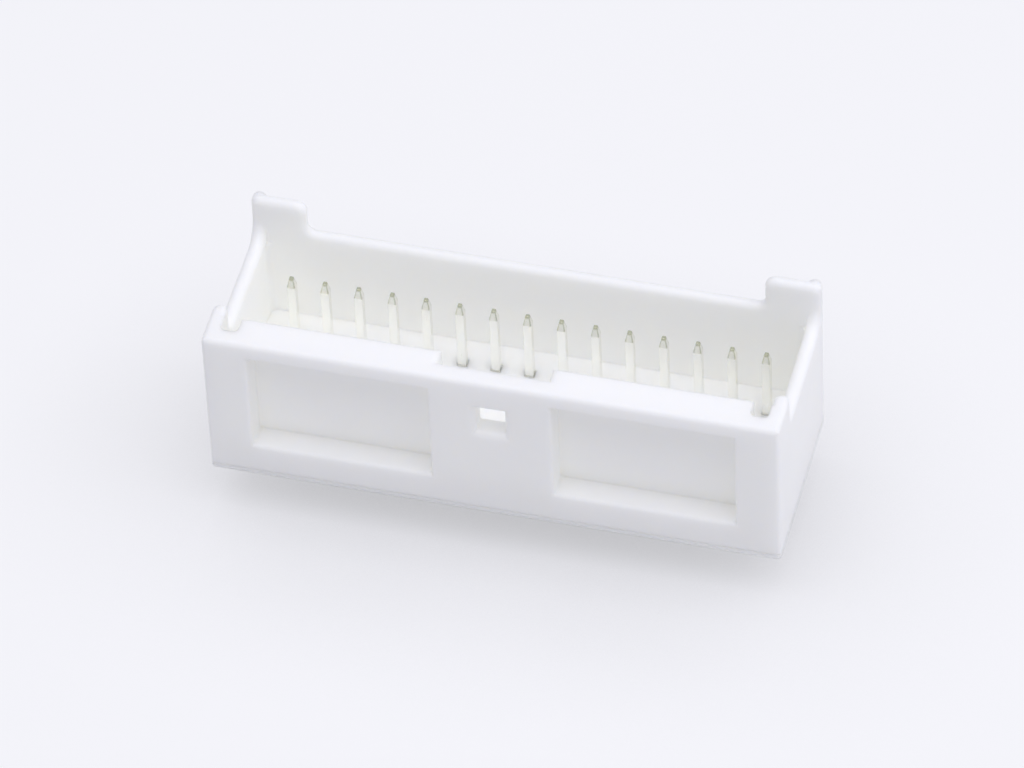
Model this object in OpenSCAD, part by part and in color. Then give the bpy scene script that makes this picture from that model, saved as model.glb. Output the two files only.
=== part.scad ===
// Shrouded single-row pin header: one moulded housing and a row of square pins.
// The origin is on the board plane, midway along the pin row. X runs along the row,
// +Y points from the lock wall to the back wall and +Z is the way the plug pulls off.

/* [Pins] */
// Number of pins in the row
pin_count = 15; // [8:1:20]
// Distance from one pin to the next
pitch = 2; // [1.8:0.1:2.5]
// Side of the square pin
pin_width = 0.5; // [0.4:0.02:0.64]
// Height of the pin's tip above the board
pin_height = 7.3; // [6:0.1:8.5]
// Length of the solder tail below the board
tail_length = 3.2; // [2.5:0.1:4.5]
// Length of the bevel at the pin's tip
tip_length = 0.65; // [0.3:0.05:1]
// Width left at the pin's tip
tip_width = 0.22; // [0.1:0.02:0.34]
// Length of the bevel at the tail's end
tail_bevel = 0.3; // [0.1:0.05:0.6]
// Width left at the tail's end
tail_width = 0.3; // [0.2:0.02:0.38]

/* [Housing] */
// From the last pin to the end of the housing
end_margin = 2.77; // [2.5:0.01:3.5]
// From the pin row to the front face
front_reach = 8.77; // [8:0.01:10]
// From the pin row to the back face
back_reach = 2.55; // [2.2:0.05:3.2]
// Thickness of the floor that holds the pins
floor_thickness = 2.5; // [2:0.1:3.2]
// Height of the lock wall at the front
front_height = 10.5; // [10:0.1:12]
// Height of the back wall
back_height = 9.1; // [8.6:0.1:9.6]
// Height of the end walls
end_height = 8.45; // [8:0.05:9]
// Thickness of the lock wall at the front
front_wall = 2.5; // [2.3:0.05:3]
// Thickness of the back wall
back_wall = 0.75; // [0.7:0.05:1.1]
// Thickness of the end walls
end_wall = 0.85; // [0.7:0.05:1.1]
// Lead-in chamfer along the inside of the lock wall
lead_chamfer = 0.5; // [0.2:0.05:0.8]
// Radius of the upright corners at the back
corner_radius = 0.36; // [0.2:0.02:0.5]
// Radius of the cavity's upright corners at the back
inner_radius = 0.5; // [0.3:0.05:0.8]
// Radius of the upright corners at the front
front_radius = 0.24; // [0.1:0.02:0.4]
// Radius along the top edge of the front
edge_radius = 0.3; // [0.2:0.02:0.5]
// Height of the parting groove above the board
groove_height = 0.22; // [0.15:0.01:0.4]
// Width of the parting groove
groove_width = 0.12; // [0.06:0.01:0.2]
// Depth of the parting groove
groove_depth = 0.06; // [0.03:0.01:0.12]

/* [Corner posts] */
// Width of a corner post along the back wall
post_width = 3.3; // [2.6:0.1:4]
// Height of the corner posts above the lock wall
post_height = 0.8; // [0.2:0.1:1.5]
// Depth of a corner post over the end wall
post_depth = 0.75; // [0.6:0.05:1.2]
// Radius of the post's inner shoulder
post_shoulder = 0.65; // [0.6:0.05:0.9]
// Hollow fillet between the post and the back wall
post_fillet = 0.55; // [0.3:0.05:0.7]
// Hollow fillet between the post and the end wall
return_fillet = 1.25; // [0.6:0.05:1.5]

/* [Front corners] */
// Depth of the raised front corners over the end walls
corner_depth = 3; // [2.6:0.05:3.4]
// Radius along the top of the raised front corners
corner_edge = 0.3; // [0.15:0.01:0.34]
// Hollow fillet behind the raised front corners
corner_fillet = 0.45; // [0.2:0.05:0.8]
// Width of the keying slot inside each front corner
slot_width = 1.05; // [0.8:0.05:1.4]
// Skin left in front of the keying slot
skin = 1; // [0.8:0.05:1.2]
// Radius in the bottom of the keying slot
slot_radius = 0.3; // [0.1:0.05:0.38]
// Radius of the lock wall's corner beside the keying slot
slot_mouth = 0.35; // [0.1:0.05:0.45]

/* [Outer pockets] */
// Depth of the cored pockets in the front face
pocket_depth = 1.55; // [1.2:0.05:1.8]
// Height of the pocket's sill above the board
pocket_sill = 2.28; // [1.6:0.02:2.6]
// Bar left above the pocket
pocket_head = 1.14; // [0.7:0.01:1.4]
// From the middle of the housing to the pocket
pocket_start = 3.6; // [3.5:0.05:4]
// From the pocket to the end of the housing
pocket_margin = 2.6; // [2:0.05:3]
// Radius in the pocket's corners
pocket_radius = 0.2; // [0.1:0.05:0.6]
// Radius around the pocket's mouth
pocket_edge = 0.2; // [0.05:0.01:0.3]

/* [Lock] */
// Width of the recess that takes the plug's latch
latch_width = 6.5; // [5:0.05:6.6]
// Radius along the edges of the latch recess
latch_edge = 0.35; // [0.1:0.05:0.45]
// Thickness of the panel in front of the latch recess
panel_thickness = 1.15; // [0.9:0.05:1.4]
// Lead-in chamfer along the inside of the latch panel
panel_lead = 0.1; // [0.05:0.01:0.3]
// Width of the lock window
window_width = 1.7; // [1.4:0.1:3]
// Height of the lock window
window_height = 1.9; // [1.4:0.1:2.8]
// From the top of the lock wall down to the window
window_drop = 2.15; // [1.5:0.05:2.4]
// Radius in the window's corners
window_radius = 0.12; // [0.05:0.01:0.3]
// Radius around the window's mouth
window_edge = 0.42; // [0.1:0.01:0.45]

/* [Fits] */
// Clearance between a pin and its hole, each side
pin_clearance = 0.02; // [0.01:0.01:0.05]
// Width of the lead-in around a pin at the floor, each side
hole_lead = 0.06; // [0.05:0.01:0.2]
// Depth of the lead-in around a pin
hole_lead_depth = 0.1; // [0.06:0.02:0.3]

/* [Hidden] */
$fn = 48;
// Overshoot of a cut past the face that it opens
past = 1;
half_length = (pin_count - 1) * pitch / 2 + end_margin;
front_y = -front_reach;
back_y = back_reach;
inner_x = half_length - end_wall;
inner_front_y = front_y + front_wall;
inner_back_y = back_y - back_wall;
skin_y = front_y + skin;
panel_y = front_y + panel_thickness;
post_top = front_height + post_height;
tall = post_top + past;

// Extrudes an outline drawn in X and Z from y0 to y1
module along_y(y0, y1) {
  translate([0, y1, 0]) rotate([90, 0, 0]) linear_extrude(y1 - y0) children();
}

// Extrudes an outline drawn in Y and Z from x0 to x1
module along_x(x0, x1) {
  translate([x0, 0, 0]) rotate([90, 0, 90]) linear_extrude(x1 - x0) children();
}

// Repeats a piece drawn for the +X end at the other end
module both_ends() {
  children();
  mirror([1, 0, 0]) children();
}

// Upright outline from a to b with rounded top corners
module arch(a, b, top, ra, rb) {
  polygon([[a, 0], [b, 0], [b, top - rb], [b - rb, top], [a + ra, top], [a, top - ra]]);
  translate([a + ra, top - ra]) circle(ra);
  translate([b - rb, top - rb]) circle(rb);
}

// Rectangle between two corners with rounded corners
module soft_rectangle(low, high, r) {
  translate([low.x + r, low.y]) square([high.x - low.x - 2 * r, high.y - low.y]);
  translate([low.x, low.y + r]) square([high.x - low.x, high.y - low.y - 2 * r]);
  for (x = [low.x + r, high.x - r], y = [low.y + r, high.y - r]) translate([x, y]) circle(r);
}

// Corner filler with a hollow quarter round, its square corner at the origin
module hollow_corner(r) {
  difference() {
    square(r);
    translate([r, r]) circle(r);
  }
}

// Plan of the housing, drawn in by a margin
module plan(margin) {
  x = half_length - margin;
  low = front_y + margin;
  high = back_y - margin;
  polygon([
    [front_radius - x, low], [x - front_radius, low], [x, low + front_radius], [x, high - corner_radius],
    [x - corner_radius, high], [corner_radius - x, high], [-x, high - corner_radius], [-x, low + front_radius]
  ]);
  for (side = [-1, 1]) {
    translate([side * (x - front_radius), low + front_radius]) circle(front_radius);
    translate([side * (x - corner_radius), high - corner_radius]) circle(corner_radius);
  }
}

// Flat of an upright plate, drawn in X and Z and centred on Y
module plate(thickness) {
  rotate([90, 0, 0]) linear_extrude(thickness, center = true) children();
}

// Straight stretch of a plate's round edge, its centre line from a to b
module edge_line(a, b, r) {
  run = b - a;
  translate([a.x, 0, a.y]) rotate([0, 90 - atan2(run.y, run.x), 0]) cylinder(norm(run), r = r);
}

// Quarter bend of a plate's round edge, its centre line turning about c
module edge_bend(c, radius, r, start) {
  translate([c.x, 0, c.y]) rotate([90, 0, 0]) rotate(start) rotate_extrude(angle = 90) intersection() {
    translate([radius, 0]) circle(r);
    translate([0, -r]) square([radius + r, 2 * r]);
  }
}

// Section of an opening's mouth in the front face, flaring over a convex edge at a and at b
module flare_section(a, b, edge) {
  difference() {
    translate([a - edge, front_y - past]) square([b - a + 2 * edge, past + edge]);
    translate([a - edge, front_y + edge]) circle(edge);
    translate([b + edge, front_y + edge]) circle(edge);
  }
}

// Opening cut into the front face to a depth, between two corners, with a rounded mouth
module front_opening(low, high, depth, r, edge) {
  along_y(front_y - past, front_y + depth) soft_rectangle(low, high, r);
  intersection() {
    linear_extrude(tall) flare_section(low.x, high.x, edge);
    along_x(low.x - edge, high.x + edge) mirror([1, -1]) flare_section(low.y, high.y, edge);
  }
}

// Section of the lock wall or its panel: round outer edge and a lead-in chamfer inside
module lock_wall_section(inner_y, chamfer) {
  polygon([
    [front_y, 0], [inner_y, 0], [inner_y, front_height - chamfer], [inner_y - chamfer, front_height],
    [front_y + edge_radius, front_height], [front_y, front_height - edge_radius]
  ]);
  translate([front_y + edge_radius, front_height - edge_radius]) circle(edge_radius);
}

// One half of the lock wall, from the latch recess to the end wall, with its keying slot
module lock_wall_half() {
  start = latch_width / 2;
  slot_x = inner_x - slot_width;
  difference() {
    intersection() {
      along_x(start, half_length - end_wall / 2) lock_wall_section(inner_front_y, lead_chamfer);
      along_y(front_y, inner_front_y) arch(start, half_length + past, front_height, latch_edge, edge_radius);
    }
    translate([0, 0, floor_thickness]) linear_extrude(tall) {
      translate([start, inner_front_y]) mirror([0, 1]) hollow_corner(latch_edge);
      translate([slot_x, inner_front_y]) rotate(180) hollow_corner(slot_mouth);
      soft_rectangle([slot_x, skin_y], [inner_x, inner_front_y + past], slot_radius);
    }
  }
}

// Thin panel in front of the latch recess, whose top runs on into the lock wall's halves
module latch_panel() {
  reach = latch_width / 2 + latch_edge;
  along_x(-reach, reach) lock_wall_section(panel_y, panel_lead);
}

// Lock window through the latch panel
module lock_window() {
  top = front_height - window_drop;
  front_opening(
    [-window_width / 2, top - window_height], [window_width / 2, top],
    panel_thickness + past, window_radius, window_edge
  );
}

// Cored pocket in the front face
module front_pocket() {
  front_opening(
    [pocket_start, pocket_sill], [half_length - pocket_margin, front_height - pocket_head],
    pocket_depth, pocket_radius, pocket_edge
  );
}

// Parting groove around the foot of the housing
module parting_groove() {
  translate([0, 0, groove_height]) linear_extrude(groove_width) difference() {
    translate([-half_length - past, front_y - past])
      square([2 * (half_length + past), back_y - front_y + 2 * past]);
    plan(groove_depth);
  }
}

// Raised front corner of an end wall, round in plan at its back
module raised_corner() {
  r = end_wall / 2;
  nose_y = front_y + corner_depth - r;
  intersection() {
    along_y(front_y, nose_y) arch(inner_x, half_length, front_height, corner_edge, corner_edge);
    along_x(inner_x, half_length) arch(front_y, nose_y + past, front_height, edge_radius, edge_radius);
  }
  translate([half_length - r, nose_y, 0]) rotate_extrude() intersection() {
    arch(-r, r, front_height, corner_edge, corner_edge);
    square([r, front_height]);
  }
}

// End wall as a plate with a round edge that dips behind the front corner and sweeps up into the post,
// and a rounded corner of the cavity under the sweep
module end_wall_plate() {
  r = end_wall / 2;
  nose = front_y + corner_depth - r;
  post = back_y - post_depth + r;
  rim = end_height - r;
  top = post_top - r;
  dip = corner_fillet + r;
  sweep = return_fillet + r;
  translate([inner_x, inner_back_y, 0]) rotate(180) linear_extrude(rim) hollow_corner(inner_radius);
  translate([half_length - r, 0, 0]) rotate(90) {
    plate(end_wall) {
      translate([front_y, 0]) square([back_y - front_y, rim]);
      translate([nose, rim]) hollow_corner(dip);
      translate([post, rim]) mirror([1, 0]) hollow_corner(sweep);
      translate([post, 0]) square([back_y - post, top]);
    }
    edge_bend([nose + dip, rim + dip], dip, r, 180);
    edge_line([nose + dip, rim], [post - sweep, rim], r);
    edge_bend([post - sweep, rim + sweep], sweep, r, 270);
    edge_line([post, 0], [post, top], r);
    edge_line([post, top], [back_y, top], r);
    translate([post, 0, top]) sphere(r);
  }
}

// Back wall as a plate with a round edge that climbs over a post at each end
module back_wall_plate() {
  r = back_wall / 2;
  end = half_length - end_wall / 2;
  flank = half_length - post_width + r;
  rim = back_height - r;
  top = post_top - r;
  dip = post_fillet + r;
  turn = post_shoulder - r;
  translate([0, back_y - r, 0]) {
    plate(back_wall) translate([-end, 0]) square([2 * end, rim]);
    edge_line([dip - flank, rim], [flank - dip, rim], r);
    both_ends() {
      plate(back_wall) {
        translate([flank, rim]) mirror([1, 0]) hollow_corner(dip);
        translate([flank, 0]) square([end - flank, top - turn]);
        translate([flank + turn, 0]) square([end - flank - turn, top]);
        translate([flank + turn, top - turn]) circle(turn);
      }
      edge_bend([flank - dip, rim + dip], dip, r, 270);
      edge_line([flank, rim + dip], [flank, top - turn], r);
      edge_bend([flank + turn, top - turn], turn, r, 90);
      edge_line([flank + turn, top], [end, top], r);
    }
  }
}

// Square hole for one pin, with a wider lead-in at the floor
module pin_hole(x) {
  hole = pin_width + 2 * pin_clearance;
  lead = pin_width + 2 * hole_lead;
  translate([x - hole / 2, -hole / 2, -past]) cube([hole, hole, floor_thickness + 2 * past]);
  translate([x - lead / 2, -lead / 2, floor_thickness - hole_lead_depth])
    cube([lead, lead, hole_lead_depth + past]);
}

function pin_x(i) = (i - (pin_count + 1) / 2) * pitch;

module housing() {
  color("ivory") difference() {
    intersection() {
      linear_extrude(tall) plan(0);
      union() {
        translate([-half_length, front_y, 0]) cube([2 * half_length, back_y - front_y, floor_thickness]);
        latch_panel();
        back_wall_plate();
        both_ends() {
          lock_wall_half();
          raised_corner();
          end_wall_plate();
        }
      }
    }
    lock_window();
    both_ends() front_pocket();
    parting_groove();
    for (i = [1 : pin_count]) pin_hole(pin_x(i));
  }
}

// Side outline of a pin: solder tail, shank and bevelled tip
module pin_outline() {
  half = pin_width / 2;
  polygon([
    [-tail_width / 2, -tail_length], [tail_width / 2, -tail_length],
    [half, tail_bevel - tail_length], [half, pin_height - tip_length],
    [tip_width / 2, pin_height], [-tip_width / 2, pin_height],
    [-half, pin_height - tip_length], [-half, tail_bevel - tail_length]
  ]);
}

module pin(i) {
  color("silver") translate([pin_x(i), 0, 0]) intersection() {
    along_y(-pin_width / 2, pin_width / 2) pin_outline();
    along_x(-pin_width / 2, pin_width / 2) pin_outline();
  }
}

housing();
for (i = [1 : pin_count]) pin(i);
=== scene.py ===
"""Looks for a shrouded pin header: a moulded nylon housing round a row of tin-plated square pins."""

import math

import bpy
import numpy as np
from bpy.props import FloatProperty, FloatVectorProperty, IntProperty, PointerProperty
from mathutils import Matrix, Vector


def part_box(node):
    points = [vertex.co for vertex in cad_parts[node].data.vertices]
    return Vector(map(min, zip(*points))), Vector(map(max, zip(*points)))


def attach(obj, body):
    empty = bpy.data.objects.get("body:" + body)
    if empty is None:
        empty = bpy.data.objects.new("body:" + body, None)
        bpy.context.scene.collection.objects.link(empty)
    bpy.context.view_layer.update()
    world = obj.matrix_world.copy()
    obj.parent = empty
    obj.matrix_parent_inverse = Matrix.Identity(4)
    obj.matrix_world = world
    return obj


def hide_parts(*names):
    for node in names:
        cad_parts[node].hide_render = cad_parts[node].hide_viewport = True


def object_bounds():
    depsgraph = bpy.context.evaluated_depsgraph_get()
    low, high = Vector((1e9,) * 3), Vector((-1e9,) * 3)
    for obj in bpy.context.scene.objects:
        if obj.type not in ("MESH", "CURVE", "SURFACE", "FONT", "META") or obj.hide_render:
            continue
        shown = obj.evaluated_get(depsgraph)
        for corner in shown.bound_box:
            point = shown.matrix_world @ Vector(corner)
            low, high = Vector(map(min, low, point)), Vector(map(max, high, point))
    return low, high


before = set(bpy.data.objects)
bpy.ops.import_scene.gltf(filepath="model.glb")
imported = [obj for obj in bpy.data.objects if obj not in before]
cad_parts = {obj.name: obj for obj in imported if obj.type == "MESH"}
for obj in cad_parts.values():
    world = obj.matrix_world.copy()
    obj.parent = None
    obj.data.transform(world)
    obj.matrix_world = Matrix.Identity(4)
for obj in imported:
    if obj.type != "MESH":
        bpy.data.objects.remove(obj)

bl_info = {
    "name": "Pin Header Looks",
    "version": (1, 0, 0),
    "blender": (4, 5, 0),
    "location": "View3D > Sidebar > Pin Header",
    "description": "Dresses a shrouded pin header with moulded nylon and tin-plated pins",
    "category": "Object",
}

CAD_LOW, CAD_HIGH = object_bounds()
PIN_NAMES = [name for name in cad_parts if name.startswith("pin_")]
MM = 0.001

# Octaves in the noise of the fine grain and of the slow cloud, and how much each finer one counts
GRAIN_DETAIL = 3.0
CLOUD_DETAIL = 2.0
NOISE_ROUGHNESS = 0.55

# Range of that noise which is spread out to fill 0 to 1
NOISE_LOW = 0.3
NOISE_HIGH = 0.7

# Largest share of the pin's half width that its corner radius may take
CORNER_SHARE = 0.4

# Width of the camera's sensor in millimetres, and the nearest distance that it sees in metres
SENSOR_WIDTH = 36.0
CLIP_START = 0.01


class HousingLook(bpy.types.PropertyGroup):
    """Finish of the moulded housing."""

    nylon: FloatVectorProperty(
        name="Nylon",
        description="Colour of the natural nylon",
        subtype="COLOR",
        size=3,
        default=(0.99, 0.989, 0.955),
    )
    nylon_cloud: FloatVectorProperty(
        name="Nylon Cloud",
        description="Colour where the resin has flowed a little thicker",
        subtype="COLOR",
        size=3,
        default=(0.982, 0.981, 0.942),
    )
    cloud_size: FloatProperty(
        name="Cloud Size",
        description="Distance over which the nylon's tone drifts",
        subtype="DISTANCE",
        unit="LENGTH",
        default=2.5 * MM,
    )
    grain_size: FloatProperty(
        name="Grain Size",
        description="Size of the spark-eroded grain that the mould leaves",
        subtype="DISTANCE",
        unit="LENGTH",
        default=0.07 * MM,
    )
    grain_depth: FloatProperty(
        name="Grain Depth",
        description="Depth of that grain",
        subtype="DISTANCE",
        unit="LENGTH",
        default=0.004 * MM,
    )
    grain_strength: FloatProperty(
        name="Grain Strength",
        description="How strongly that grain tilts the light",
        subtype="FACTOR",
        min=0.0,
        max=1.0,
        default=0.5,
    )
    smooth_roughness: FloatProperty(
        name="Smooth Roughness",
        description="Roughness of the nylon between its grains",
        subtype="FACTOR",
        min=0.0,
        max=1.0,
        default=0.42,
    )
    grain_roughness: FloatProperty(
        name="Grain Roughness",
        description="Roughness of the nylon on its grains",
        subtype="FACTOR",
        min=0.0,
        max=1.0,
        default=0.58,
    )
    nylon_ior: FloatProperty(
        name="Nylon IOR",
        description="Refractive index of nylon",
        default=1.53,
    )
    edge_softness: FloatProperty(
        name="Edge Softness",
        description="Radius by which the mould breaks every sharp edge below the posts",
        subtype="DISTANCE",
        unit="LENGTH",
        default=0.16 * MM,
    )
    soft_full: FloatProperty(
        name="Full Softness",
        description="Depth below the posts' tops from which the edges have all of that radius",
        subtype="DISTANCE",
        unit="LENGTH",
        default=0.8 * MM,
    )
    soft_start: FloatProperty(
        name="Softness Start",
        description="Depth below the posts' tops above which the rounded posts get none of it",
        subtype="DISTANCE",
        unit="LENGTH",
        default=0.6 * MM,
    )
    crisp_row: FloatProperty(
        name="Crisp Row",
        description="Distance from the pin row within which the holes keep their crisp edges",
        subtype="DISTANCE",
        unit="LENGTH",
        default=0.6 * MM,
    )
    glow_depth: FloatProperty(
        name="Glow Depth",
        description="How far light travels inside the nylon",
        subtype="DISTANCE",
        unit="LENGTH",
        default=1.1 * MM,
    )
    glow_reach: FloatVectorProperty(
        name="Glow Reach",
        description="Shares of the glow depth that red, green and blue light travel",
        subtype="COLOR",
        size=3,
        default=(1.0, 0.96, 0.88),
    )
    glow: FloatProperty(
        name="Glow",
        description="Share of the light that passes through the nylon's skin",
        subtype="FACTOR",
        min=0.0,
        max=1.0,
        default=1.0,
    )


class PinLook(bpy.types.PropertyGroup):
    """Form and finish of the pins."""

    tin: FloatVectorProperty(
        name="Tin",
        description="Colour of the bright tin plate",
        subtype="COLOR",
        size=3,
        default=(0.92, 0.92, 0.88),
    )
    tin_dull: FloatVectorProperty(
        name="Dull Tin",
        description="Colour where the plate is a little duller",
        subtype="COLOR",
        size=3,
        default=(0.89, 0.892, 0.845),
    )
    # Brass colour: bare brass at the cut tip, and also a painted dark reflection on the coined tip and
    # its edges
    brass: FloatVectorProperty(
        name="Brass",
        description="Colour of the bare brass at the coined tip",
        subtype="COLOR",
        size=3,
        default=(0.51, 0.52, 0.4),
    )
    brass_start: FloatProperty(
        name="Brass Start",
        description="How far below the tip the plate begins to give way to brass",
        subtype="DISTANCE",
        unit="LENGTH",
        default=0.2 * MM,
    )
    brass_full: FloatProperty(
        name="Brass Full",
        description="How far below the tip the brass is bare",
        subtype="DISTANCE",
        unit="LENGTH",
        default=0.06 * MM,
    )
    # Painted dark reflection: these values spread the brass colour along the bevel's edges, partly bare
    # brass and partly painted reflection
    edge_start: FloatProperty(
        name="Edge Start",
        description="Where brass begins on the bevel, from 0 at the middle of a face to 1 at its edge",
        subtype="FACTOR",
        min=0.0,
        max=1.0,
        default=0.55,
    )
    edge_full: FloatProperty(
        name="Edge Full",
        description="Where along that way the brass is at its barest",
        subtype="FACTOR",
        min=0.0,
        max=1.0,
        default=0.9,
    )
    # Painted dark reflection: how much of the brass colour lines the bevel's edges
    edge_brass_and_shade: FloatProperty(
        name="Edge Brass",
        description="How bare the bevel's edges are",
        subtype="FACTOR",
        min=0.0,
        max=1.0,
        default=0.7,
    )
    draw_size: FloatProperty(
        name="Draw Line Size",
        description="Width of the faint lines that drawing leaves along the wire",
        subtype="DISTANCE",
        unit="LENGTH",
        default=0.05 * MM,
    )
    draw_stretch: FloatProperty(
        name="Draw Line Stretch",
        description="How many times longer than wide those lines are",
        default=25.0,
    )
    tone_size: FloatProperty(
        name="Tone Size",
        description="Distance over which the plate's tone drifts",
        subtype="DISTANCE",
        unit="LENGTH",
        default=0.4 * MM,
    )
    plate_roughness: FloatProperty(
        name="Plate Roughness",
        description="Roughness of the bright plate",
        subtype="FACTOR",
        min=0.0,
        max=1.0,
        default=0.22,
    )
    draw_roughness: FloatProperty(
        name="Draw Line Roughness",
        description="Roughness along the draw lines",
        subtype="FACTOR",
        min=0.0,
        max=1.0,
        default=0.28,
    )
    corner_round: FloatProperty(
        name="Corner Round",
        description="Radius of the drawn wire's long corners",
        subtype="DISTANCE",
        unit="LENGTH",
        default=0.05 * MM,
    )
    tip_length: FloatProperty(
        name="Tip Length",
        description="Length of the coined bevel at the tip",
        subtype="DISTANCE",
        unit="LENGTH",
        default=0.65 * MM,
    )
    tip_width: FloatProperty(
        name="Tip Width",
        description="Width left at the tip",
        subtype="DISTANCE",
        unit="LENGTH",
        default=0.22 * MM,
    )
    tail_bevel: FloatProperty(
        name="Tail Bevel",
        description="Length of the bevel at the tail's end",
        subtype="DISTANCE",
        unit="LENGTH",
        default=0.3 * MM,
    )
    tail_width: FloatProperty(
        name="Tail Width",
        description="Width left at the tail's end",
        subtype="DISTANCE",
        unit="LENGTH",
        default=0.3 * MM,
    )
    knee_round: FloatProperty(
        name="Knee Round",
        description="Length over which one face of the pin turns into the next",
        subtype="DISTANCE",
        unit="LENGTH",
        default=0.03 * MM,
    )
    arc_points: IntProperty(
        name="Arc Points",
        description="Points on each rounded corner",
        min=3,
        default=6,
    )


class StageLook(bpy.types.PropertyGroup):
    """Floor, light and camera."""

    floor: FloatVectorProperty(
        name="Floor",
        description="Colour of the pale floor",
        subtype="COLOR",
        size=3,
        default=(0.915, 0.915, 0.95),
    )
    floor_bounce: FloatVectorProperty(
        name="Floor Bounce",
        description="Colour of the light that the floor throws back at the header",
        subtype="COLOR",
        size=3,
        default=(0.72, 0.72, 0.73),
    )
    floor_lift: FloatProperty(
        name="Floor Lift",
        description="How far the header's shadow is lifted towards the floor's own colour",
        subtype="FACTOR",
        min=0.0,
        max=1.0,
        default=0.73,
    )
    # Painted shade: how dark the ambient-occlusion node paints the floor's glow where the header covers
    # it
    floor_shade: FloatProperty(
        name="Floor Shade",
        description="How dark the lifted floor still turns where the header covers it",
        subtype="FACTOR",
        min=0.0,
        max=1.0,
        default=0.41,
    )
    shade_reach: FloatProperty(
        name="Shade Reach",
        description="How far from the header that soft shade reaches",
        subtype="DISTANCE",
        unit="LENGTH",
        default=15.0 * MM,
    )
    shade_samples: IntProperty(
        name="Shade Samples",
        description="Rays that look for the header from each point of the floor",
        min=1,
        default=4,
    )
    backdrop: FloatVectorProperty(
        name="Backdrop",
        description="Colour of the pale surroundings",
        subtype="COLOR",
        size=3,
        default=(0.90, 0.90, 0.94),
    )
    floor_width: FloatProperty(
        name="Floor Width",
        description="Width of the floor",
        subtype="DISTANCE",
        unit="LENGTH",
        default=1.2,
    )
    sky: FloatProperty(
        name="Sky",
        description="Strength of the even light from all round",
        default=0.517,
    )
    light: FloatVectorProperty(
        name="Light",
        description="Colour of the lamps and the sky",
        subtype="COLOR",
        size=3,
        default=(0.937, 0.94, 1.0),
    )
    light_bounces: IntProperty(
        name="Light Bounces",
        description="How many times light may pass between the pale walls of the cavity",
        min=0,
        default=12,
    )
    lamp_watts: FloatProperty(
        name="Lamp",
        description="Power of the soft lamp above the header",
        unit="POWER",
        default=1.085,
    )
    lamp_place: FloatVectorProperty(
        name="Lamp Place",
        description="Where the lamp hangs",
        subtype="XYZ",
        unit="LENGTH",
        size=3,
        default=(0.05, -0.065, 0.42),
    )
    lamp_length: FloatProperty(
        name="Lamp Length",
        description="Length of a soft lamp along X",
        unit="LENGTH",
        default=0.6,
    )
    lamp_width: FloatProperty(
        name="Lamp Width",
        description="Width of a soft lamp",
        unit="LENGTH",
        default=0.3,
    )
    side_watts: FloatProperty(
        name="Side Lamp",
        description="Power of the weaker lamp at the +X end",
        unit="POWER",
        default=0.305,
    )
    side_place: FloatVectorProperty(
        name="Side Lamp Place",
        description="Where the side lamp stands",
        subtype="XYZ",
        unit="LENGTH",
        size=3,
        default=(0.35, 0.05, 0.2),
    )
    camera_turn: FloatProperty(
        name="Camera Turn",
        description="How far the camera stands round from the lock wall towards the +X end",
        subtype="ANGLE",
        default=math.radians(16.31),
    )
    camera_rise: FloatProperty(
        name="Camera Rise",
        description="Camera's angle above the horizon",
        subtype="ANGLE",
        default=math.radians(46.5),
    )
    camera_roll: FloatProperty(
        name="Camera Roll",
        description="Camera's tilt about its own line of sight",
        subtype="ANGLE",
        default=math.radians(-2.79),
    )
    camera_reach: FloatProperty(
        name="Camera Reach",
        description="Distance from the camera to the header's origin",
        subtype="DISTANCE",
        unit="LENGTH",
        default=475.8 * MM,
    )
    aim_right: FloatProperty(
        name="Aim Right",
        description="How far right of the origin the line of sight passes",
        subtype="DISTANCE",
        unit="LENGTH",
        default=-1.132 * MM,
    )
    aim_up: FloatProperty(
        name="Aim Up",
        description="How far above the origin the line of sight passes",
        subtype="DISTANCE",
        unit="LENGTH",
        default=1.102 * MM,
    )
    focal_length: FloatProperty(
        name="Focal Length",
        description="Focal length on a 36 mm wide sensor, in millimetres",
        default=289.7,
    )


def rounded_outline(corners, cut, points):
    """Open outline whose inner corners are eased: each corner C is replaced by the quadratic curve
    (1-t)^2 A + 2t(1-t) C + t^2 B, where A and B lie a length cut away from C on its two sides."""
    inner = corners[1:-1]
    before = corners[:-2] - inner
    after = corners[2:] - inner
    start = inner + before / np.linalg.norm(before, axis=1, keepdims=True) * cut
    end = inner + after / np.linalg.norm(after, axis=1, keepdims=True) * cut
    t = np.linspace(0.0, 1.0, points)[None, :, None]
    curves = (1 - t) ** 2 * start[:, None] + 2 * t * (1 - t) * inner[:, None] + t**2 * end[:, None]
    return np.vstack([corners[:1], curves.reshape(-1, 2), corners[-1:]])


def rounded_square(half, radius, points):
    """Rings of rounded squares, one row for each half width: a corner's arc has its centre at
    (half - radius) along both axes, and its points turn through a quarter circle about it."""
    turn = np.arange(4)[:, None] * (np.pi / 2) + np.linspace(0.0, np.pi / 2, points)[None, :]
    side = np.arange(4)[:, None] * (np.pi / 2) + np.pi / 4 + np.zeros((1, points))
    reach = np.sqrt(2.0) * (half - radius)
    x = reach[:, None] * np.cos(side).ravel() + radius[:, None] * np.cos(turn).ravel()
    y = reach[:, None] * np.sin(side).ravel() + radius[:, None] * np.sin(turn).ravel()
    return x, y


def grid_mesh(name, x, y, z):
    """Closed skin over rings of points: ring i meets ring i + 1 in four-sided faces, each ring closes
    on itself, and one flat face closes each end."""
    rings, around = x.shape
    index = np.arange(rings * around).reshape(rings, around)
    low, high = index[:-1], index[1:]
    quads = np.stack([low, np.roll(low, -1, 1), np.roll(high, -1, 1), high], -1).reshape(-1, 4)
    faces = quads.tolist() + [index[0, ::-1].tolist(), index[-1].tolist()]
    mesh = bpy.data.meshes.new(name)
    mesh.from_pydata(np.stack([x, y, z], -1).reshape(-1, 3).tolist(), [], faces)
    mesh.shade_smooth()
    return mesh


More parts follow.
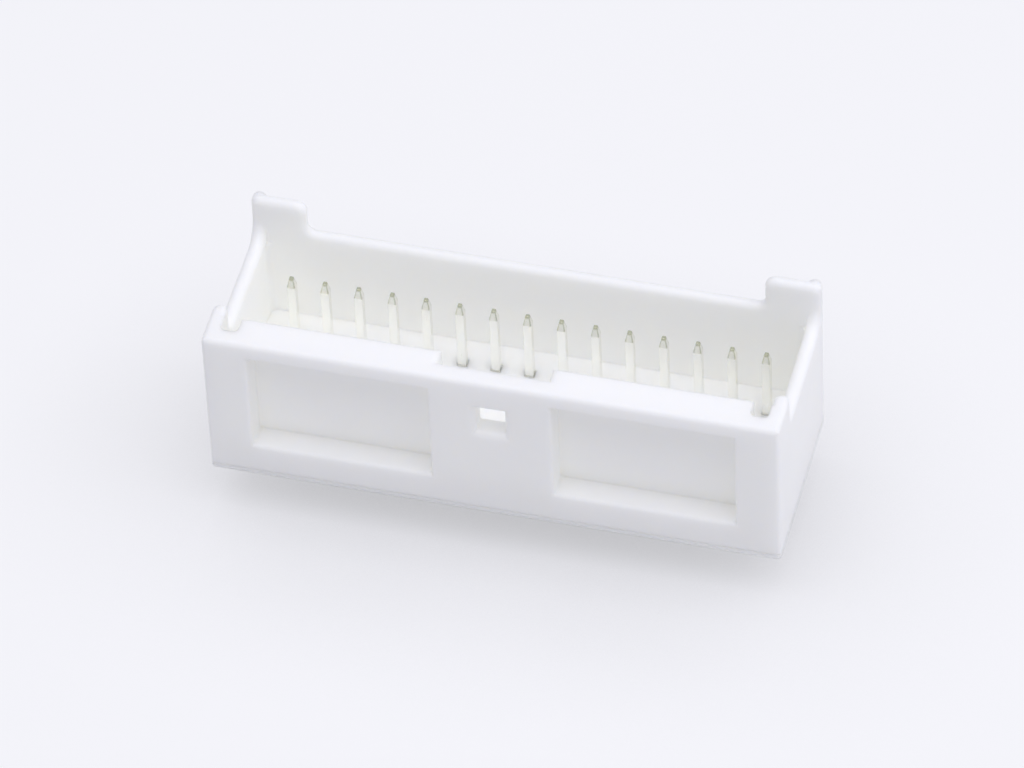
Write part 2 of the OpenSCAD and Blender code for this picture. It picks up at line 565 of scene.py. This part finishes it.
def pin_mesh(name, low, high, look):
    """Square pin carried up its own axis: the half width follows an eased outline from the tail's bevel
    up the straight shank to the coined tip, and each ring is a rounded square of that half width."""
    half = (high.x - low.x) / 2
    tail, tip = look.tail_width / 2, look.tip_width / 2
    ease = look.knee_round
    outline = np.array([
        (low.z, tail - 2 * ease),
        (low.z, tail),
        (low.z + look.tail_bevel, half),
        (high.z - look.tip_length, half),
        (high.z, tip),
        (high.z, tip - 2 * ease),
    ])
    z, width = rounded_outline(outline, ease, look.arc_points).T
    x, y = rounded_square(width, np.minimum(look.corner_round, CORNER_SHARE * width), look.arc_points)
    middle = (low + high) / 2
    return grid_mesh(name, x + middle.x, y + middle.y, np.repeat(z[:, None], x.shape[1], 1))


def add_node(tree, kind, **values):
    """New node of that kind, with the named input sockets set."""
    node = tree.nodes.new(kind)
    for socket, value in values.items():
        node.inputs[socket.replace("_", " ")].default_value = value
    return node


def rgba(colour):
    """Colour with full alpha, as a socket takes it."""
    return (*colour, 1.0)


def plug(tree, value, socket):
    """Feed a socket from another socket, or set it to a plain value."""
    if isinstance(value, bpy.types.NodeSocket):
        tree.links.new(value, socket)
    else:
        socket.default_value = value


def join(tree, operation, *values):
    """Result of one math operation on values that are numbers or sockets."""
    node = tree.nodes.new("ShaderNodeMath")
    node.operation = operation
    for socket, value in zip(node.inputs, values):
        plug(tree, value, socket)
    return node.outputs["Value"]


def ramp(tree, value, start, full, least=0.0, most=1.0):
    """Number that goes from least to most as value goes from start to full, and no further."""
    node = add_node(
        tree, "ShaderNodeMapRange", From_Min=start, From_Max=full, To_Min=least, To_Max=most
    )
    tree.links.new(value, node.inputs["Value"])
    return node.outputs["Result"]


def split(tree, place):
    """X, Y and Z of a place, as sockets by those names."""
    axes = tree.nodes.new("ShaderNodeSeparateXYZ")
    tree.links.new(place, axes.inputs["Vector"])
    return axes.outputs


def grain_group():
    """Shared texture of a worked surface: a fine Grain and a slow Cloud, both from 0 to 1."""
    group = bpy.data.node_groups.get("worked_surface")
    if group:
        return group
    group = bpy.data.node_groups.new("worked_surface", "ShaderNodeTree")
    face = group.interface
    face.new_socket("Place", in_out="INPUT", socket_type="NodeSocketVector")
    face.new_socket("Grain Scale", in_out="INPUT", socket_type="NodeSocketFloat")
    face.new_socket("Cloud Scale", in_out="INPUT", socket_type="NodeSocketFloat")
    face.new_socket("Grain", in_out="OUTPUT", socket_type="NodeSocketFloat")
    face.new_socket("Cloud", in_out="OUTPUT", socket_type="NodeSocketFloat")
    given = group.nodes.new("NodeGroupInput")
    result = group.nodes.new("NodeGroupOutput")
    for name, detail in (("Grain", GRAIN_DETAIL), ("Cloud", CLOUD_DETAIL)):
        noise = add_node(group, "ShaderNodeTexNoise", Detail=detail, Roughness=NOISE_ROUGHNESS)
        group.links.new(given.outputs["Place"], noise.inputs["Vector"])
        group.links.new(given.outputs[name + " Scale"], noise.inputs["Scale"])
        spread = ramp(group, noise.outputs["Fac"], NOISE_LOW, NOISE_HIGH)
        group.links.new(spread, result.inputs[name])
    return group


def worked_surface(tree, place, grain_size, cloud_size):
    """Grain and Cloud of the shared texture, placed in a material at its own sizes."""
    surface = tree.nodes.new("ShaderNodeGroup")
    surface.node_tree = grain_group()
    surface.inputs["Grain Scale"].default_value = 1 / grain_size
    surface.inputs["Cloud Scale"].default_value = 1 / cloud_size
    tree.links.new(place, surface.inputs["Place"])
    return surface.outputs["Grain"], surface.outputs["Cloud"]


def new_material(name):
    """New material, with its node tree, its Principled shader and its place in the object's frame."""
    material = bpy.data.materials.new(name)
    material.use_nodes = True
    tree = material.node_tree
    shader = tree.nodes["Principled BSDF"]
    place = tree.nodes.new("ShaderNodeTexCoord").outputs["Object"]
    return material, tree, shader, place


def mix_colours(tree, factor, first, second):
    """Colour that goes from first to second as factor goes from 0 to 1. Each end is a colour with its
    alpha, or a socket."""
    mix = tree.nodes.new("ShaderNodeMix")
    mix.data_type = "RGBA"
    ends = [socket for socket in mix.inputs if socket.type == "RGBA"]
    for socket, value in zip(ends, (first, second)):
        plug(tree, value, socket)
    tree.links.new(factor, mix.inputs["Factor"])
    return next(socket for socket in mix.outputs if socket.type == "RGBA")


def seen_rays(tree):
    """1 for rays of the camera and for those that it sees by reflection or through glass, and 0 for
    rays that only carry light."""
    path = tree.nodes.new("ShaderNodeLightPath")
    direct = join(tree, "MAXIMUM", path.outputs["Is Camera Ray"], path.outputs["Is Glossy Ray"])
    return join(tree, "MAXIMUM", direct, path.outputs["Is Transmission Ray"])


def mix_shaders(tree, factor, first, second):
    """Shader that goes from first to second as factor, a number or a socket, goes from 0 to 1."""
    mix = tree.nodes.new("ShaderNodeMixShader")
    share, low, high = mix.inputs
    plug(tree, factor, share)
    tree.links.new(first.outputs[0], low)
    tree.links.new(second.outputs[0], high)
    return mix


def show(tree, kind, shader):
    """Send a shader to a new output node of that kind."""
    out = tree.nodes.new(kind)
    tree.links.new(shader.outputs["Shader"], out.inputs["Surface"])


def soft_edges(tree, place, look):
    """Normal that turns near a sharp edge as if it were broken to a radius. The radius falls to 0 on
    the posts, which are round already, and along the pin row, whose holes are crisp."""
    axes = split(tree, place)
    none, full = CAD_HIGH.z - look.soft_start, CAD_HIGH.z - look.soft_full
    below_posts = ramp(tree, axes["Z"], none, full, most=look.edge_softness)
    off_row = join(tree, "GREATER_THAN", join(tree, "ABSOLUTE", axes["Y"]), look.crisp_row)
    edge = tree.nodes.new("ShaderNodeBevel")
    tree.links.new(join(tree, "MULTIPLY", below_posts, off_row), edge.inputs["Radius"])
    return edge.outputs["Normal"]


def nylon_material(look):
    """Natural nylon: faintly clouded, with a fine eroded grain, broken edges and a soft inner glow."""
    material, tree, shader, place = new_material("natural_nylon")
    grain, cloud = worked_surface(tree, place, look.grain_size, look.cloud_size)
    colour = mix_colours(tree, cloud, rgba(look.nylon), rgba(look.nylon_cloud))
    tree.links.new(colour, shader.inputs["Base Color"])
    rough = ramp(tree, grain, 0.0, 1.0, look.smooth_roughness, look.grain_roughness)
    tree.links.new(rough, shader.inputs["Roughness"])
    bump = add_node(tree, "ShaderNodeBump", Strength=look.grain_strength, Distance=look.grain_depth)
    tree.links.new(soft_edges(tree, place, look), bump.inputs["Normal"])
    tree.links.new(grain, bump.inputs["Height"])
    tree.links.new(bump.outputs["Normal"], shader.inputs["Normal"])
    shader.inputs["IOR"].default_value = look.nylon_ior
    shader.inputs["Subsurface Weight"].default_value = look.glow
    shader.inputs["Subsurface Radius"].default_value = look.glow_reach
    shader.inputs["Subsurface Scale"].default_value = look.glow_depth
    return material


def brass_and_painted_reflection(tree, place, look, tip, row):
    """Mask of the brass colour: all of the cut tip, where the brass is bare and the colour also paints
    the tip's dark reflection, and the coined edges below it, where it is partly bare brass and partly a
    painted dark reflection.
    A point is near an edge where its distances from the pin's axis along X and Y are alike, so their
    ratio tells it."""
    axes = split(tree, place)
    half_pitch = (row[1] - row[0]) / 2
    from_first = join(tree, "SUBTRACT", axes["X"], row[0])
    across = join(tree, "ABSOLUTE", join(tree, "WRAP", from_first, half_pitch, -half_pitch))
    along = join(tree, "ABSOLUTE", axes["Y"])
    nearer = join(tree, "MINIMUM", across, along)
    farther = join(tree, "MAXIMUM", across, along)
    alike = join(tree, "DIVIDE", nearer, farther)
    edge = ramp(tree, alike, look.edge_start, look.edge_full, most=look.edge_brass_and_shade)
    knee = tip - look.tip_length
    bevel = ramp(tree, axes["Z"], knee, knee + look.knee_round)
    cut = ramp(tree, axes["Z"], tip - look.brass_start, tip - look.brass_full)
    return join(tree, "MAXIMUM", cut, join(tree, "MULTIPLY", edge, bevel))


def plated_material(look, tip, row):
    """Bright tin over brass: faint draw lines up the pin, and brass colour at the cut tip and the
    coined edges, which is bare brass and also a painted dark reflection.
    """
    material, tree, shader, place = new_material("tin_over_brass")
    stretch = add_node(tree, "ShaderNodeMapping", Scale=(1.0, 1.0, 1 / look.draw_stretch))
    tree.links.new(place, stretch.inputs["Vector"])
    grain, cloud = worked_surface(tree, stretch.outputs["Vector"], look.draw_size, look.tone_size)
    plate = mix_colours(tree, cloud, rgba(look.tin), rgba(look.tin_dull))
    # Brass colour: bare brass, and also a painted dark reflection on the tip and the bevel's edges
    bare = brass_and_painted_reflection(tree, place, look, tip, row)
    colour = mix_colours(tree, bare, plate, rgba(look.brass))
    tree.links.new(colour, shader.inputs["Base Color"])
    rough = ramp(tree, grain, 0.0, 1.0, look.plate_roughness, look.draw_roughness)
    tree.links.new(rough, shader.inputs["Roughness"])
    shader.inputs["Metallic"].default_value = 1.0
    return material


def floor_material(look):
    """Pale matte floor: the camera sees the header's real shadow lifted by a glow of the floor's own
    colour, and a painted shade, drawn by an ambient-occlusion node, darkens that glow near the header
    like the broad soft shade that a light tent leaves, while the light that the floor throws back comes
    from a plainer sheet."""
    material = bpy.data.materials.new("pale_floor")
    material.cycles.emission_sampling = "NONE"
    material.use_nodes = True
    tree = material.node_tree
    tree.nodes.clear()
    sheet = add_node(tree, "ShaderNodeBsdfDiffuse", Color=rgba(look.floor))
    lift = tree.nodes.new("ShaderNodeEmission")
    # Painted shade: the ambient-occlusion node darkens the floor's glow near the header, standing in
    # for its soft shadow
    shade = add_node(tree, "ShaderNodeAmbientOcclusion", Distance=look.shade_reach)
    shade.samples = look.shade_samples
    painted_shadow_colour = rgba((1.0 - look.floor_shade) * value for value in look.floor)
    shaded = mix_colours(tree, shade.outputs["AO"], painted_shadow_colour, rgba(look.floor))
    tree.links.new(shaded, lift.inputs["Color"])
    bounce = add_node(tree, "ShaderNodeBsdfDiffuse", Color=rgba(look.floor_bounce))
    seen = mix_shaders(tree, look.floor_lift, sheet, lift)
    show(tree, "ShaderNodeOutputMaterial", mix_shaders(tree, seen_rays(tree), bounce, seen))
    return material


def add_piece(name, mesh, material):
    """New object at the origin that carries the mesh and its finish."""
    mesh.materials.clear()
    mesh.materials.append(material)
    piece = bpy.data.objects.new(name, mesh)
    bpy.context.scene.collection.objects.link(piece)
    return piece


class HEADER_OT_housing(bpy.types.Operator):
    """Dress the moulded housing in natural nylon"""

    bl_idname = "pin_header.housing"
    bl_label = "Housing"

    def execute(self, context):
        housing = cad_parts["housing"]
        housing.material_slots[0].material = nylon_material(context.scene.housing_look)
        return {"FINISHED"}


class HEADER_OT_pins(bpy.types.Operator):
    """Make the row of plated pins"""

    bl_idname = "pin_header.pins"
    bl_label = "Pins"

    def execute(self, context):
        look = context.scene.pin_look
        boxes = {name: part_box(name) for name in PIN_NAMES}
        row = sorted((low.x + high.x) / 2 for low, high in boxes.values())
        tip = max(high.z for low, high in boxes.values())
        plated = plated_material(look, tip, row)
        for name, (low, high) in boxes.items():
            pin = add_piece(name + "_plated", pin_mesh(name + "_plated", low, high, look), plated)
            pin.modifiers.new("even_shading", "WEIGHTED_NORMAL")
            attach(pin, "root")
            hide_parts(name)
        return {"FINISHED"}


class HEADER_OT_stage(bpy.types.Operator):
    """Lay the pale floor, set the light and place the camera"""

    bl_idname = "pin_header.stage"
    bl_label = "Stage"

    def execute(self, context):
        look = context.scene.stage_look
        context.scene.view_settings.view_transform = "Standard"
        self.lay_floor(look)
        self.light_sky(context.scene, look)
        wide = (look.lamp_length, look.lamp_width)
        square = (look.lamp_width, look.lamp_width)
        self.hang_lamp(context.scene, look, "soft_lamp", look.lamp_watts, look.lamp_place, wide)
        self.hang_lamp(context.scene, look, "side_lamp", look.side_watts, look.side_place, square)
        self.place_camera(context.scene, look)
        return {"FINISHED"}

    def lay_floor(self, look):
        """One square sheet under the tails."""
        half = look.floor_width / 2
        corners = [(-half, -half), (half, -half), (half, half), (-half, half)]
        mesh = bpy.data.meshes.new("floor")
        mesh.from_pydata([(x, y, CAD_LOW.z) for x, y in corners], [], [(0, 1, 2, 3)])
        add_piece("floor", mesh, floor_material(look))

    def light_sky(self, scene, look):
        """Even light from all round, which the camera and bright metal see as the pale backdrop."""
        world = bpy.data.worlds.new("pale_sky")
        world.use_nodes = True
        scene.world = world
        scene.cycles.diffuse_bounces = look.light_bounces
        tree = world.node_tree
        tree.nodes.clear()
        light = add_node(tree, "ShaderNodeBackground", Color=rgba(look.light), Strength=look.sky)
        pale = add_node(tree, "ShaderNodeBackground", Color=rgba(look.backdrop), Strength=1.0)
        show(tree, "ShaderNodeOutputWorld", mix_shaders(tree, seen_rays(tree), light, pale))

    def hang_lamp(self, scene, look, name, watts, place, size):
        """Soft lamp turned about X and then Y so that it faces the origin, its length square to Y."""
        place = Vector(place)
        lamp = bpy.data.lights.new(name, "AREA")
        lamp.energy = watts
        lamp.color = look.light
        lamp.shape = "RECTANGLE"
        lamp.size, lamp.size_y = size
        holder = bpy.data.objects.new(name, lamp)
        holder.location = place
        holder.rotation_euler = (math.asin(-place.y / place.length), math.atan2(place.x, place.z), 0.0)
        scene.collection.objects.link(holder)

    def place_camera(self, scene, look):
        """Camera looks back along the direction set by its turn and rise, rolled about that line."""
        back = Vector((
            math.sin(look.camera_turn) * math.cos(look.camera_rise),
            -math.cos(look.camera_turn) * math.cos(look.camera_rise),
            math.sin(look.camera_rise),
        ))
        level = Vector((math.cos(look.camera_turn), math.sin(look.camera_turn), 0.0))
        upright = back.cross(level)
        right = level * math.cos(look.camera_roll) + upright * math.sin(look.camera_roll)
        up = back.cross(right)
        lens = bpy.data.cameras.new("camera")
        lens.lens = look.focal_length
        lens.sensor_width = SENSOR_WIDTH
        lens.clip_start = CLIP_START
        holder = bpy.data.objects.new("camera", lens)
        place = right * look.aim_right + up * look.aim_up + back * look.camera_reach
        turn = Matrix((right, up, back)).transposed().to_4x4()
        holder.matrix_world = Matrix.Translation(place) @ turn
        scene.collection.objects.link(holder)
        scene.camera = holder


class HEADER_PT_panel(bpy.types.Panel):
    """Sidebar panel that lists the pieces and their values"""

    bl_idname = "HEADER_PT_panel"
    bl_label = "Pin Header"
    bl_space_type = "VIEW_3D"
    bl_region_type = "UI"
    bl_category = "Pin Header"

    def draw(self, context):
        for operator, look in STEPS:
            box = self.layout.box()
            box.operator(operator.bl_idname)
            values = getattr(context.scene, look)
            for name in values.__annotations__:
                box.prop(values, name)


STEPS = (
    (HEADER_OT_housing, "housing_look"),
    (HEADER_OT_pins, "pin_look"),
    (HEADER_OT_stage, "stage_look"),
)
LOOKS = {"housing_look": HousingLook, "pin_look": PinLook, "stage_look": StageLook}
CLASSES = (*LOOKS.values(), *(operator for operator, look in STEPS), HEADER_PT_panel)


def register():
    """Register the classes and hang each group of values on the scene."""
    for each in CLASSES:
        bpy.utils.register_class(each)
    for name, group in LOOKS.items():
        setattr(bpy.types.Scene, name, PointerProperty(type=group))


def unregister():
    """Take away what register added."""
    for name in LOOKS:
        delattr(bpy.types.Scene, name)
    for each in reversed(CLASSES):
        bpy.utils.unregister_class(each)


def main():
    """Make the header and the stage."""
    register()
    bpy.ops.pin_header.housing()
    bpy.ops.pin_header.pins()
    bpy.ops.pin_header.stage()


if __name__ == "__main__":
    main()
